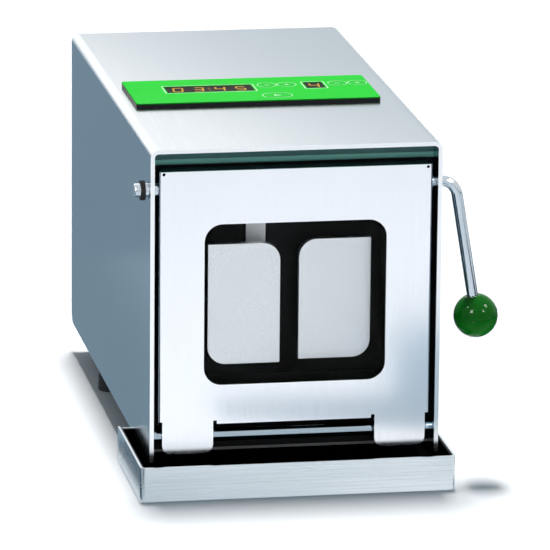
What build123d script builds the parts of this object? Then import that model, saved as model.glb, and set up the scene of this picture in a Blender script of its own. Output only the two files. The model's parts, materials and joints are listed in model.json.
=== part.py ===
"""Paddle blender homogenizer for 100 ml sample bags, millimetres.

X runs across the machine, Y from the front edge of the casing to the rear, Z up
from the table.  The origin is on the table, below the middle of the casing's
front edge.
"""
from build123d import *
import math
import os

# ---- casing: one sheet folded into a roof and two sides ----
casing_width = 210.0
casing_depth = 400.0
roof_height = 253.0
skirt_height = 24.0
casing_sheet = 3.0
casing_bend = 6.0
casing_heel = 10.0

# ---- inner sheet metal ----
base_sheet = 2.0
base_drop = 1.0
base_lip = 14.0
bulkhead_sheet = 2.0
rear_recess = 3.0
rear_sheet = 2.0

# ---- door: a folded front sheet on rails, on a rod along its lower edge ----
door_setback = 2.5
door_sheet = 1.5
door_bend = 2.0
door_return = 2.1
door_rail_drop = 13.0
door_side_gap = 3.3
door_top_gap = 13.8
door_seal_gap = 1.0
sill_rise = 10.5
door_flange = 13.5
door_foot_flange = 7.0
door_relief_radius = 1.1
door_relief_side = 3.6
door_relief_top = 1.7
door_stile = 32.95
window_reveal = 18.0
window_rise = 0.2
window_corner = 13.0
tab_width = 36.8
tab_inset = 3.2
tab_drop = 21.5
tab_corner = 6.6
tab_relief_width = 2.6
tab_relief_height = 2.5
pane_thickness = 4.0
pane_side_margin = 18.0
pane_end_margin = 13.0
gasket_thickness = 1.0
gasket_inset = 2.5
clip_width = 10.0
clip_height = 14.0
clip_sheet = 1.5
clip_grip = 2.5
clip_spread = 76.0
clip_screw_radius = 2.4
hinge_set_back = 8.0
hinge_rise = 13.0
hinge_rod_radius = 5.0
knuckle_radius = 7.5
knuckle_margin = 2.0

# ---- lever, its cross shaft and ball knob ----
lever_set_back = 6.0
lever_axis_drop = 28.0
shaft_radius = 5.0
shaft_stub = 10.5
shaft_end_gap = 2.0
blade_thickness = 4.0
blade_length = 5.5
blade_tilt = 19.0
latch_mouth = 7.5
latch_clearance = 0.4
latch_lip = 2.2
latch_jaw_width = 3.0
latch_jaw_height = 4.5
latch_room = 6.0
lever_rod_radius = 4.0
lever_socket = 20.0
lever_bend = 12.0
lever_lean = 9.6
lever_drop = 100.0
knob_radius = 16.0
knob_parting = 0.5
knob_flat = 5.6
bush_wall = 1.2
ring_radius = 7.1
ring_width = 3.3
ring_offset = 2.8

# ---- mixing chamber and its seals ----
chamber_side_room = 28.0
chamber_headroom = 9.5
chamber_rise = 43.0
chamber_depth = 51.0
chamber_wall = 1.5
drain_width = 60.0
drain_depth = 6.0
lip_seal_width = 3.5
lip_seal_gap = 0.4
lip_seal_thickness = 1.6
roof_seal_height = 12.5
roof_seal_thickness = 5.5
strip_width = 14.0
strip_thickness = 1.5
strip_length = 56.0
strip_foot = 12.0
strip_back = 12.0
strip_centre = -21.0

# ---- paddles and their drive ----
paddle_side_room = 14.3
paddle_end_room = 47.6
paddle_gap = 15.0
paddle_thickness = 6.0
paddle_corner = 13.0
paddle_drop = 4.9
bag_space = 15.5
paddle_lead = 3.5
boss_radius = 10.0
boss_height = 4.0
rod_radius = 6.0
crank_throw = 8.0
bush_radius = 10.0
bush_flange_radius = 13.0
bush_flange = 2.0
guide_thickness = 10.0
guide_height = 44.0
fork_base = 8.0
fork_height = 18.0
fork_arm = 4.0
fork_side_gap = 0.5
fork_tail = 9.0
fork_tail_flat = 0.5
eye_radius = 8.0
pin_radius = 4.0
conrod_length = 60.0
conrod_thickness = 9.0
conrod_web = 5.0
conrod_waist = 9.0
strap_wall = 5.0
cheek_gap = 0.2
cheek_thickness = 1.0
cheek_rim = 1.5
eccentric_radius = 16.0
crank_shaft_radius = 6.0
plate_inset = 12.0
plate_thickness = 6.0
plate_rear = 27.0
plate_crown = 27.0
plate_window_length = 64.8
bearing_radius = 16.0
bearing_race = 4.0
bearing_width = 8.0
bearing_groove = 0.6
bearing_land = 1.0
pulley_radius = 36.0
pulley_width = 12.0
pulley_flange = 1.5
pulley_rim = 3.4
pulley_gap = 10.0
motor_pulley_radius = 12.0
belt_thickness = 2.0
belt_play = 0.1
motor_rear_room = 133.0
motor_rise = 53.0
motor_radius = 40.0
motor_length = 86.0
motor_bell_radius = 36.0
motor_bell = 9.0
motor_shaft_radius = 4.0
motor_left = -44.0
cradle_thickness = 8.0
cradle_height = 34.0
run_gap = 1.0
running_fit = 0.05

# ---- control panel on the roof ----
panel_width = 181.0
panel_depth = 76.7
panel_centre_x = -3.8
panel_centre_y = 174.2
panel_corner = 3.0
panel_base_height = 2.2
overlay_height = 0.8
time_window_width = 65.0
time_window_depth = 21.0
time_window_aside = -29.8
time_window_back = 5.6
speed_window_width = 14.0
speed_window_depth = 20.5
speed_window_aside = 49.2
speed_window_back = 8.5
display_sink = 0.3
display_play = 0.3
key_radius = 6.0
key_length = 20.0
key_play = 0.2
key_travel = 0.5
key_proud = 0.15
key_rim = 1.2
key_rear_back = 12.8
key_front_back = -22.2
time_key_aside = 14.3
speed_key_aside = 67.4
key_pitch = 15.0
start_key_aside = 16.3
board_thickness = 1.6
board_drop = 8.0
board_margin = 9.0
board_spacer_radius = 3.0

# ---- rear panel fittings, feet, tray ----
inlet_x = -62.0
inlet_z = 62.0
inlet_flange_width = 30.0
inlet_flange_height = 23.0
inlet_flange = 2.5
inlet_body_width = 27.5
inlet_body_height = 20.0
inlet_body_depth = 20.0
inlet_socket_width = 24.4
inlet_socket_height = 16.6
inlet_socket_depth = 15.0
inlet_pin_pitch = 7.0
inlet_pin_width = 2.0
inlet_pin_height = 4.0
inlet_earth_rise = 2.5
switch_x = -22.0
switch_z = 62.0
switch_frame_width = 17.0
switch_frame_height = 30.0
switch_frame = 2.0
switch_body_depth = 16.0
switch_wall = 1.6
rocker_width = 12.4
rocker_height = 22.0
rocker_depth = 7.0
rocker_crown = 2.4
rocker_valley = 1.44
rocker_tilt = 9.0
rocker_pin_radius = 1.2
rocker_pin_reach = 1.2
vent_slot_length = 34.0
vent_slot_width = 4.0
vent_pitch = 11.0
vent_rows = 6
vent_column = 44.0
vent_z = 130.0
rear_screw_radius = 3.0
rear_screw_height = 2.0
rear_screw_inset = 8.0
foot_radius = 9.0
foot_taper = 1.5
front_foot_inset = 14.0
rear_foot_inset = 10.0
rear_foot_set_in = 116.0
tray_foot_gap = 10.4
tray_overhang = 9.35
tray_front = 19.7
tray_length = 114.3
tray_height = 26.0
tray_clearance = 0.3
tray_sheet = 1.5
tray_corner = 4.0
liner_wall = 1.2
liner_drop = 0.6

# ---- boards and transformer on the base ----
power_board_width = 96.0
power_board_depth = 54.0
power_board_inset = 12.0
power_board_rear_gap = 28.0
power_board_rise = 10.0
capacitor_radius = 9.0
capacitor_height = 28.0
capacitor_pitch = 23.4
heatsink_fins = 5
heatsink_height = 22.4
transformer_width = 56.0
transformer_depth = 44.0
transformer_height = 46.0
core_depth = 26.4
coil_width = 34.7
coil_rim = 7.4
coil_corner = 5.5
transformer_inset = 18.0
transformer_rear_gap = 35.0

# ---- places worked out from the sizes above: casing, door and lever ----
half_width = casing_width / 2
inner_half = half_width - casing_sheet
roof_under = roof_height - casing_sheet
base_bottom = skirt_height + base_drop
base_top = base_bottom + base_sheet
rear_outer = casing_depth - rear_recess
rear_inner = rear_outer - rear_sheet
door_half = inner_half - door_side_gap
door_top = roof_under - door_top_gap
door_back = door_setback + door_sheet
door_rear = door_back + door_flange
door_return_back = door_setback + door_return
bulkhead_setback = door_rear + door_seal_gap + roof_seal_thickness
bulkhead_back = bulkhead_setback + bulkhead_sheet
hinge_axis_y = door_back + hinge_set_back
hinge_axis_z = base_top + hinge_rise
door_sill = hinge_axis_z + sill_rise
tab_outer = door_half - tab_inset
tab_inner = tab_outer - tab_width
tab_foot = door_sill - tab_drop
lever_axis_y = door_back + lever_set_back
lever_axis_z = roof_under - lever_axis_drop
knob_centre_z = lever_axis_z - lever_drop
rail_top = lever_axis_z - door_rail_drop
shaft_right = inner_half - shaft_end_gap
shaft_socket = shaft_right - lever_socket
latch_x = shaft_socket - latch_room

# ---- places worked out: chamber, window and paddles ----
gasket_back = door_back + gasket_thickness
pane_back = gasket_back + pane_thickness
chamber_half = inner_half - chamber_side_room
chamber_width = 2 * chamber_half
chamber_floor = base_top + chamber_rise
chamber_top = lever_axis_z - shaft_radius - chamber_headroom - chamber_wall
chamber_height = chamber_top - chamber_floor
chamber_middle = (chamber_floor + chamber_top) / 2
chamber_front = pane_back + lip_seal_gap + lip_seal_thickness
chamber_back = chamber_front + chamber_depth
tub_back = chamber_back + chamber_wall
window_width = 2 * (door_half - door_stile)
window_height = chamber_height - window_reveal
window_centre = chamber_middle + window_rise
pane_half = window_width / 2 + pane_side_margin
pane_half_height = window_height / 2 + pane_end_margin
paddle_width = (chamber_width - paddle_gap) / 2 - paddle_side_room
paddle_height = chamber_height - paddle_end_room
paddle_centre = chamber_middle - paddle_drop
paddle_mid_face = chamber_front + bag_space
paddle_x = (paddle_gap + paddle_width) / 2

# ---- places worked out: drive ----
guide_rear = tub_back + guide_thickness
paddle_rise = math.sqrt(crank_throw ** 2 - paddle_lead ** 2)
conrod_run = math.sqrt(conrod_length ** 2 - paddle_rise ** 2)
fork_reach = 2 * crank_throw + eye_radius + run_gap
pin_mid_y = guide_rear + run_gap + fork_base + fork_reach + crank_throw
crank_y = pin_mid_y + conrod_run
crank_z = paddle_centre
strap_bore = eccentric_radius + running_fit
strap_outer = strap_bore + strap_wall
plate_gap = chamber_half - plate_inset
plate_outer = plate_gap + plate_thickness
pulley_left = plate_outer + pulley_gap
pulley_right = pulley_left + pulley_width
motor_axis_y = rear_inner - motor_rear_room
motor_axis_z = base_top + motor_rise

# ---- places worked out: panel, tray, feet and electrics ----
time_window_x = panel_centre_x + time_window_aside
time_window_y = panel_centre_y + time_window_back
speed_window_x = panel_centre_x + speed_window_aside
speed_window_y = panel_centre_y + speed_window_back
key_rear_y = panel_centre_y + key_rear_back
key_front_y = panel_centre_y + key_front_back
time_key_x = panel_centre_x + time_key_aside
speed_key_x = panel_centre_x + speed_key_aside
start_key_x = panel_centre_x + start_key_aside
panel_top = roof_height + panel_base_height + overlay_height
overlay_bottom = roof_height + panel_base_height
tray_half = half_width + tray_overhang
tray_back = tray_length - tray_front
tray_rear_height = skirt_height - tray_clearance
front_foot_x = inner_half - front_foot_inset
front_foot_y = tray_back + tray_foot_gap + foot_radius
rear_foot_x = inner_half - rear_foot_inset
rear_foot_y = casing_depth - rear_foot_set_in
power_board_x = inner_half - power_board_inset - power_board_width / 2
power_board_y = rear_inner - power_board_rear_gap - power_board_depth / 2
transformer_x = transformer_width / 2 + transformer_inset - inner_half
transformer_y = rear_inner - transformer_rear_gap - transformer_depth / 2


def block(x0, x1, y0, y1, z0, z1):
    """A box between two corners."""
    centre = Pos((x0 + x1) / 2, (y0 + y1) / 2, (z0 + z1) / 2)
    return centre * Box(x1 - x0, y1 - y0, z1 - z0)


def across(radius, x0, x1, y, z):
    """A round bar that runs along X."""
    return Pos((x0 + x1) / 2, y, z) * Rot(0, 90, 0) * Cylinder(radius, x1 - x0)


def deep(radius, x, y0, y1, z):
    """A round bar that runs along Y."""
    return Pos(x, (y0 + y1) / 2, z) * Rot(90, 0, 0) * Cylinder(radius, y1 - y0)


def upright(radius, x, y, z0, z1):
    """A round bar that stands along Z."""
    return Pos(x, y, (z0 + z1) / 2) * Cylinder(radius, z1 - z0)


def facing(sketch, x, z, y0, y1):
    """Extrude an outline that faces the front from y0 to y1, centred at x, z."""
    return extrude(Plane.XZ.offset(-y1) * Pos(x, z) * sketch, y1 - y0)


def sideways(sketch, x0, x1, y=0.0, z=0.0):
    """Extrude an outline drawn in Y and Z from x0 to x1."""
    return extrude(Plane.YZ.offset(x0) * Pos(y, z) * sketch, x1 - x0)


def lying(sketch, x, y, z0, z1):
    """Extrude an outline seen from above from z0 to z1."""
    return Pos(x, y, z0) * extrude(sketch, z1 - z0)


def mirrored(shape):
    """The same piece on the other side of the machine."""
    return mirror(shape, Plane.YZ)


def pair(shape):
    """A piece and its mirror twin as two separate solids."""
    return Compound([*solids_of(shape), *solids_of(mirrored(shape))])


def solids_of(shape):
    """The solids that a result holds."""
    return list(shape.solids())


def group(*shapes):
    """Separate solids that share one node."""
    return Compound([solid for shape in shapes for solid in solids_of(shape)])


def save(name, shape):
    """Write one node."""
    export_step(shape, f"parts/{name}.step")


def vertical_edges(shape, y, tolerance=0.01):
    """The edges along Z that lie at one depth."""
    return [e for e in shape.edges().filter_by(Axis.Z) if abs(e.center().Y - y) < tolerance]


# ---------------------------------------------------------------- casing and frame

def casing():
    outer = block(-half_width, half_width, 0, casing_depth, skirt_height, roof_height)
    outer = fillet(outer.edges().filter_by(Axis.Y).group_by(Axis.Z)[-1], casing_bend)
    heels = outer.edges().filter_by(Axis.X).group_by(Axis.Y)[-1].group_by(Axis.Z)[0]
    outer = fillet(heels, casing_heel)
    inner = block(-inner_half, inner_half, -1, casing_depth + 1, skirt_height - 1, roof_under)
    inner = fillet(inner.edges().filter_by(Axis.Y).group_by(Axis.Z)[-1], casing_bend - casing_sheet)
    shell = outer - inner
    bush_hole = shaft_radius + bush_wall
    shell -= across(bush_hole, -half_width - 1, -inner_half + 1, lever_axis_y, lever_axis_z)
    rod_hole = lever_rod_radius + bush_wall
    shell -= across(rod_hole, inner_half - 1, half_width + 1, lever_axis_y, lever_axis_z)
    for cut in display_cuts(roof_under - 1, roof_height + 1):
        shell -= cut
    return shell


def base_plate():
    floor = block(-inner_half, inner_half, bulkhead_setback, rear_outer, base_bottom, base_top)
    for side in (-1, 1):
        wall = side * inner_half
        inside = wall - side * base_sheet
        low = min(wall, inside)
        high = max(wall, inside)
        floor += block(low, high, bulkhead_back, rear_inner, base_top, base_bottom + base_lip)
    slot = SlotOverall(vent_slot_length, vent_slot_width)
    for row in range(vent_rows):
        y = motor_axis_y + (row - (vent_rows - 1) / 2) * vent_pitch
        floor -= lying(slot, 0, y, base_bottom - 1, base_top + 1)
    return floor


def front_bulkhead():
    plate = block(-inner_half, inner_half, bulkhead_setback, bulkhead_back, base_top, roof_under)
    top = plate.edges().filter_by(Axis.Y).group_by(Axis.Z)[-1]
    plate = fillet(top, casing_bend - casing_sheet)
    mouth = Rectangle(chamber_width + 2 * chamber_wall, chamber_height + 2 * chamber_wall)
    return plate - facing(mouth, 0, chamber_middle, bulkhead_setback - 1, bulkhead_back + 1)


def roof_seal():
    front = bulkhead_setback - roof_seal_thickness
    low = roof_under - roof_seal_height
    strip = block(-inner_half, inner_half, front, bulkhead_setback, low, roof_under)
    top = strip.edges().filter_by(Axis.Y).group_by(Axis.Z)[-1]
    strip = fillet(top, casing_bend - casing_sheet)
    lower_front = strip.edges().filter_by(Axis.X).group_by(Axis.Y)[0].group_by(Axis.Z)[0]
    return fillet(lower_front, roof_seal_thickness / 4)


def hinge_rod():
    return across(hinge_rod_radius, -inner_half, inner_half, hinge_axis_y, hinge_axis_z)


def lever_bushes():
    left_outer = across(shaft_radius + bush_wall, -half_width, -inner_half, lever_axis_y, lever_axis_z)
    left = left_outer - across(shaft_radius + running_fit, -half_width - 1, 0, lever_axis_y, lever_axis_z)
    right_outer = across(lever_rod_radius + bush_wall, inner_half, half_width, lever_axis_y, lever_axis_z)
    right_bore = lever_rod_radius + running_fit
    right = right_outer - across(right_bore, 0, half_width + 1, lever_axis_y, lever_axis_z)
    return group(left, right)


# ---------------------------------------------------------------- mixing chamber

def chamber_tub():
    outer_half = chamber_half + chamber_wall
    tub = block(-outer_half, outer_half, chamber_front, tub_back,
                chamber_floor - chamber_wall, chamber_top + chamber_wall)
    tub -= block(-chamber_half, chamber_half, chamber_front - 1, chamber_back, chamber_floor, chamber_top)
    for side in (-1, 1):
        tub -= deep(bush_radius, side * paddle_x, chamber_back - 1, tub_back + 1, paddle_centre)
    drain_y = chamber_front + 2 * drain_depth
    drain = SlotOverall(drain_width, drain_depth)
    return tub - lying(drain, 0, drain_y, chamber_floor - chamber_wall - 1, chamber_floor + 1)


def lip_seal():
    outer_half = chamber_half + chamber_wall
    outer_height = chamber_height + 2 * chamber_wall
    front = pane_back + lip_seal_gap
    ring = facing(Rectangle(2 * outer_half, outer_height), 0, chamber_middle, front, chamber_front)
    return ring - facing(Rectangle(2 * outer_half - 2 * lip_seal_width, outer_height - 2 * lip_seal_width),
                         0, chamber_middle, front - 1, chamber_front + 1)


def bag_guide_strip():
    back = chamber_back - strip_back
    left = strip_centre - strip_width / 2
    right = strip_centre + strip_width / 2
    blade = block(left, right, back - strip_thickness, back, chamber_top - strip_length, chamber_top)
    foot = block(left, right, back, back + strip_foot, chamber_top - strip_thickness, chamber_top)
    rivet_y = back + strip_foot / 2
    rivet = upright(strip_width / 6, strip_centre, rivet_y, chamber_top - 2 * strip_thickness, chamber_top)
    return blade + foot + rivet


def guide_block():
    body = block(-plate_gap, plate_gap, tub_back, guide_rear,
                 paddle_centre - guide_height / 2, paddle_centre + guide_height / 2)
    for side in (-1, 1):
        body -= deep(bush_radius, side * paddle_x, tub_back - 1, guide_rear + 1, paddle_centre)
    return body


def paddle_bushes():
    bush = deep(bush_radius, paddle_x, chamber_back, guide_rear, paddle_centre)
    bush += deep(bush_flange_radius, paddle_x, chamber_back - bush_flange, chamber_back, paddle_centre)
    bore = rod_radius + running_fit
    bush -= deep(bore, paddle_x, chamber_back - bush_flange - 1, guide_rear + 1, paddle_centre)
    return pair(bush)


# ---------------------------------------------------------------- paddles and drive

def paddle_face(side):
    """Depth of a paddle's front face: the left one stands forward at rest."""
    return paddle_mid_face + side * paddle_lead


def pin_y(side):
    """Depth of the pin that ends a paddle rod's fork, in step with its paddle."""
    return pin_mid_y + side * paddle_lead


def paddle(side):
    """Steel plate with its upper inner and lower outer corners rounded, and a boss behind."""
    face = paddle_face(side)
    plate = facing(Rectangle(paddle_width, paddle_height), side * paddle_x, paddle_centre,
                   face, face + paddle_thickness)
    corners = plate.edges().filter_by(Axis.Y)
    inner_x = side * paddle_gap / 2
    inner_top = [e for e in corners if abs(e.center().X - inner_x) < 1 and e.center().Z > paddle_centre]
    outer_low = [e for e in corners if abs(e.center().X - inner_x) > 1 and e.center().Z < paddle_centre]
    plate = fillet(inner_top + outer_low, paddle_corner)
    back = face + paddle_thickness
    return plate + deep(boss_radius, side * paddle_x, back, back + boss_height, paddle_centre)


def paddle_rod(side):
    front = paddle_face(side) + paddle_thickness + boss_height
    rear = pin_y(side) - fork_reach
    return deep(rod_radius, side * paddle_x, front, rear, paddle_centre)


def fork(side):
    """Clevis of a base block and two cheek plates: the connecting rod's end moves between them."""
    slot_half = conrod_thickness / 2 + fork_side_gap
    outer_half = slot_half + fork_arm
    slot_front = pin_y(side) - fork_reach
    rear = pin_y(side) + fork_tail
    low = paddle_centre - fork_height / 2
    high = paddle_centre + fork_height / 2
    x = side * paddle_x
    base = block(x - outer_half, x + outer_half, slot_front - fork_base, slot_front, low, high)
    base -= deep(rod_radius, x, slot_front - fork_base - 1, slot_front + 1, paddle_centre)
    cheeks = []
    for left in (x - outer_half, x + slot_half):
        cheek = block(left, left + fork_arm, slot_front, rear, low, high)
        tail = cheek.edges().filter_by(Axis.X).group_by(Axis.Y)[-1]
        cheek = fillet(tail, fork_height / 2 - fork_tail_flat)
        cheeks.append(cheek - across(pin_radius, left - 1, left + fork_arm + 1, pin_y(side), paddle_centre))
    return group(base, *cheeks)


def eccentric_centre(side):
    """Depth and height of an eccentric's middle: the two stand half a turn apart."""
    return crank_y + side * paddle_lead, crank_z - side * paddle_rise


def crankshaft():
    """Plain shaft with two eccentrics, each with a cheek that keeps its strap in place."""
    shaft = across(crank_shaft_radius, -plate_outer - run_gap, pulley_right, crank_y, crank_z)
    seat = conrod_thickness / 2 + cheek_gap
    cheek = seat + cheek_thickness
    for side in (-1, 1):
        y, z = eccentric_centre(side)
        x = side * paddle_x
        shaft += across(eccentric_radius, x - cheek, x + cheek, y, z)
        for face in (x - cheek, x + seat):
            shaft += across(eccentric_radius + cheek_rim, face, face + cheek_thickness, y, z)
    return shaft


def conrod(side):
    """Eccentric strap, flat rod, and the rod end with its pin."""
    big_y, big_z = eccentric_centre(side)
    small_y = pin_y(side)
    x = side * paddle_x
    left = x - conrod_thickness / 2
    right = x + conrod_thickness / 2
    strap_disc = across(strap_outer, left, right, big_y, big_z)
    end_disc = across(eye_radius, left, right, small_y, crank_z)
    lean = math.degrees(math.atan2(crank_z - big_z, small_y - big_y))
    middle = Pos((big_y + small_y) / 2, (big_z + crank_z) / 2) * Rot(0, 0, lean)
    rod_outline = middle * Rectangle(conrod_length, conrod_waist)
    rod = sideways(rod_outline, x - conrod_web / 2, x + conrod_web / 2) - strap_disc - end_disc
    strap = strap_disc - across(strap_bore, left - 1, right + 1, big_y, big_z)
    end = end_disc - across(pin_radius, left - 1, right + 1, small_y, crank_z)
    pin = across(pin_radius, left, right, small_y, crank_z)
    return group(strap, rod, end, pin)


def drive_plate():
    """Upright that carries a crank bearing, with a round crown over it."""
    rear = crank_y + plate_rear
    low = block(plate_gap, plate_outer, tub_back, rear, base_top, crank_z)
    crown = across(plate_crown, plate_gap, plate_outer, crank_y, crank_z)
    arm_top = crank_z + guide_height / 2
    arm = block(plate_gap, plate_outer, tub_back, crank_y, crank_z, arm_top)
    plate = low + crown + arm
    window = SlotOverall(plate_window_length, plate_crown)
    middle_y = (tub_back + rear) / 2
    middle_z = (base_top + crank_z - bearing_radius) / 2
    plate -= sideways(window, plate_gap - 1, plate_outer + 1, middle_y, middle_z)
    return plate - across(bearing_radius, plate_gap - 1, plate_outer + 1, crank_y, crank_z)


def crank_bearings():
    left = plate_gap + (plate_thickness - bearing_width) / 2
    ring = across(bearing_radius, left, left + bearing_width, crank_y, crank_z)
    ring -= across(crank_shaft_radius + running_fit, left - 1, left + bearing_width + 1, crank_y, crank_z)
    groove_outer = bearing_radius - bearing_race + bearing_land
    groove_inner = crank_shaft_radius + bearing_race - bearing_land
    for face in (left, left + bearing_width):
        cut = across(groove_outer, face - bearing_groove, face + bearing_groove, crank_y, crank_z)
        cut -= across(groove_inner, face - 1, face + 1, crank_y, crank_z)
        ring -= cut
    return pair(ring)


def flanged_pulley(radius, bore, y, z):
    """Flat belt pulley with two flanges."""
    wheel = across(radius, pulley_left, pulley_right, y, z)
    for face in (pulley_left, pulley_right - pulley_flange):
        wheel += across(radius + pulley_rim, face, face + pulley_flange, y, z)
    return wheel - across(bore, pulley_left - 1, pulley_right + 1, y, z)


def crank_pulley():
    wheel = flanged_pulley(pulley_radius, crank_shaft_radius, crank_y, crank_z)
    hub = crank_shaft_radius * 2
    middle = pulley_left + pulley_width / 2
    recess = across(pulley_radius - pulley_rim, middle, pulley_right + 1, crank_y, crank_z)
    recess -= across(hub, pulley_left, pulley_right + 2, crank_y, crank_z)
    return wheel - recess


def belt_outline(extra):
    """Open-drive belt line: two arcs joined by their outer tangents."""
    big = Pos(crank_y, crank_z) * Circle(pulley_radius + belt_play + extra)
    small = Pos(motor_axis_y, motor_axis_z) * Circle(motor_pulley_radius + belt_play + extra)
    return make_hull(big.edges() + small.edges())


def drive_belt():
    left = pulley_left + pulley_flange + run_gap / 2
    right = pulley_right - pulley_flange - run_gap / 2
    outer = sideways(belt_outline(belt_thickness), left, right)
    return outer - sideways(belt_outline(0), left - 1, right + 1)


def motor_body():
    """Round shell with a smaller end bell at each end, bored for the shaft."""
    left = motor_left
    right = left + motor_length
    shell = across(motor_radius, left, right, motor_axis_y, motor_axis_z)
    shell += across(motor_bell_radius, left - motor_bell, left, motor_axis_y, motor_axis_z)
    shell += across(motor_bell_radius, right, right + motor_bell, motor_axis_y, motor_axis_z)
    bore = motor_shaft_radius + running_fit
    return shell - across(bore, left - motor_bell - 1, right + motor_bell + 1, motor_axis_y, motor_axis_z)


def motor_cradle():
    left = motor_left + cradle_thickness
    right = motor_left + motor_length - cradle_thickness
    body = block(left, right, motor_axis_y - motor_radius, motor_axis_y + motor_radius,
                 base_top, base_top + cradle_height)
    body -= across(motor_radius, left - 1, right + 1, motor_axis_y, motor_axis_z)
    inner_low = base_top + cradle_thickness
    slot_half = (right - left) / 2 - cradle_thickness
    middle = (left + right) / 2
    return body - block(middle - slot_half, middle + slot_half, motor_axis_y - motor_radius - 1,
                        motor_axis_y + motor_radius + 1, inner_low, base_top + cradle_height + 1)


def motor_shaft():
    left = motor_left - motor_bell
    return across(motor_shaft_radius, left, pulley_right, motor_axis_y, motor_axis_z)


def motor_pulley():
    return flanged_pulley(motor_pulley_radius, motor_shaft_radius, motor_axis_y, motor_axis_z)


# ---------------------------------------------------------------- door

def door_front():
    """Front sheet folded back along both sides: window, two hinge tabs, reliefs at the bends."""
    outer = block(-door_half, door_half, door_setback, door_return_back, door_sill, door_top)
    outer = fillet(vertical_edges(outer, door_setback), door_bend)
    inner = block(-door_half + door_sheet, door_half - door_sheet, door_back, door_return_back + 1,
                  door_sill - 1, door_top + 1)
    inner = fillet(vertical_edges(inner, door_back), door_bend - door_sheet)
    front = outer - inner
    front -= facing(RectangleRounded(window_width, window_height, window_corner), 0, window_centre,
                    door_setback - 1, door_back + 1)
    for side in (-1, 1):
        x = side * (tab_outer + tab_inner) / 2
        ends = sorted((side * (tab_inner - tab_relief_width), side * (door_half + 1)))
        front -= block(ends[0], ends[1], door_back, door_return_back + 1,
                       door_sill - 1, door_sill + tab_relief_height)
        for edge in (-1, 1):
            relief_x = x + edge * (tab_width + tab_relief_width) / 2
            half = tab_relief_width / 2
            front -= block(relief_x - half, relief_x + half, door_setback - 1, door_back + 1,
                           door_sill - 1, door_sill + tab_relief_height)
        tab = block(x - tab_width / 2, x + tab_width / 2, door_setback, door_back,
                    tab_foot, door_sill + tab_relief_height)
        low = tab.edges().filter_by(Axis.Y).group_by(Axis.Z)[0]
        front += fillet(low, tab_corner)
        front -= deep(door_relief_radius, side * (door_half - door_relief_side), door_setback - 1,
                      door_back + 1, door_top - door_relief_top)
    return front


def latch_jaw(way, reach):
    """Arm and lip of one jaw, above the cross shaft for way 1 and below it for way -1."""
    pocket_radius = shaft_radius + latch_clearance
    lip_front = lever_axis_y + pocket_radius
    rear = lip_front + latch_lip
    left = latch_x - latch_jaw_width / 2
    right = latch_x + latch_jaw_width / 2
    mouth = lever_axis_z + way * latch_mouth / 2
    pocket = lever_axis_z + way * pocket_radius
    outer = lever_axis_z + way * reach
    arm = block(left, right, door_back, rear, min(pocket, outer), max(pocket, outer))
    lip = block(left, right, lip_front, rear, min(mouth, pocket), max(mouth, pocket))
    return group(arm, lip)


def door_rails():
    """Side, top and foot rails behind the front sheet, and the jaws that the latch blades catch."""
    side = block(door_half - door_sheet, door_half, door_return_back, door_rear,
                 door_sill + tab_relief_height, rail_top)
    top_half = door_half - door_bend
    top = block(-top_half, top_half, door_back, door_rear, door_top - door_sheet, door_top)
    foot_half = tab_inner - tab_relief_width
    foot = block(-foot_half, foot_half, door_back, door_back + door_foot_flange,
                 door_sill, door_sill + door_sheet)
    upper = latch_jaw(1, door_top - door_sheet - lever_axis_z)
    lower = latch_jaw(-1, shaft_radius + latch_clearance + latch_jaw_height)
    return group(pair(side), top, foot, pair(upper), pair(lower))


def window_gasket():
    ring = facing(Rectangle(2 * pane_half, 2 * pane_half_height), 0, window_centre, door_back, gasket_back)
    hole = RectangleRounded(window_width + 2 * gasket_inset, window_height + 2 * gasket_inset,
                            window_corner + gasket_inset)
    return ring - facing(hole, 0, window_centre, door_back - 1, gasket_back + 1)


def door_window():
    return facing(Rectangle(2 * pane_half, 2 * pane_half_height), 0, window_centre, gasket_back, pane_back)


def window_clip(side, z):
    """Z-shaped clip with its screw head, holding the pane's side edge to the door."""
    inner = pane_half - clip_grip
    outer = inner + clip_width
    low = z - clip_height / 2
    high = z + clip_height / 2
    foot = block(pane_half, outer, door_back, pane_back + clip_sheet, low, high)
    lip = block(inner, outer, pane_back, pane_back + clip_sheet, low, high)
    screw_x = (pane_half + outer) / 2
    head_back = pane_back + clip_sheet
    clip = foot + lip + deep(clip_screw_radius, screw_x, head_back, head_back + clip_sheet, z)
    return clip if side > 0 else mirrored(clip)


def window_clips():
    clips = []
    for side in (-1, 1):
        for step in (-0.5, 0.5):
            clips.append(window_clip(side, window_centre + step * clip_spread))
    return group(*clips)


def hinge_knuckles():
    x0 = tab_inner + knuckle_margin
    x1 = tab_outer - knuckle_margin
    barrel = across(knuckle_radius, x0, x1, hinge_axis_y, hinge_axis_z)
    low = hinge_axis_z - knuckle_radius
    high = hinge_axis_z + knuckle_radius
    foot = block(x0, x1, door_back, hinge_axis_y, low, high)
    bore = across(hinge_rod_radius + running_fit, x0 - 1, x1 + 1, hinge_axis_y, hinge_axis_z)
    return pair(barrel + foot - bore)


# ---------------------------------------------------------------- lever

def lever_shaft():
    """Cross shaft in three lengths, the right one with a socket for the lever rod."""
    half = blade_length / 2
    stub = across(shaft_radius, -half_width - shaft_stub, -latch_x - half, lever_axis_y, lever_axis_z)
    stub = chamfer(stub.edges().group_by(Axis.X)[0], shaft_radius / 6)
    middle = across(shaft_radius, half - latch_x, latch_x - half, lever_axis_y, lever_axis_z)
    right = across(shaft_radius, latch_x + half, shaft_right, lever_axis_y, lever_axis_z)
    right -= across(lever_rod_radius, shaft_socket, shaft_right + 1, lever_axis_y, lever_axis_z)
    return group(stub, middle, right)


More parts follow.
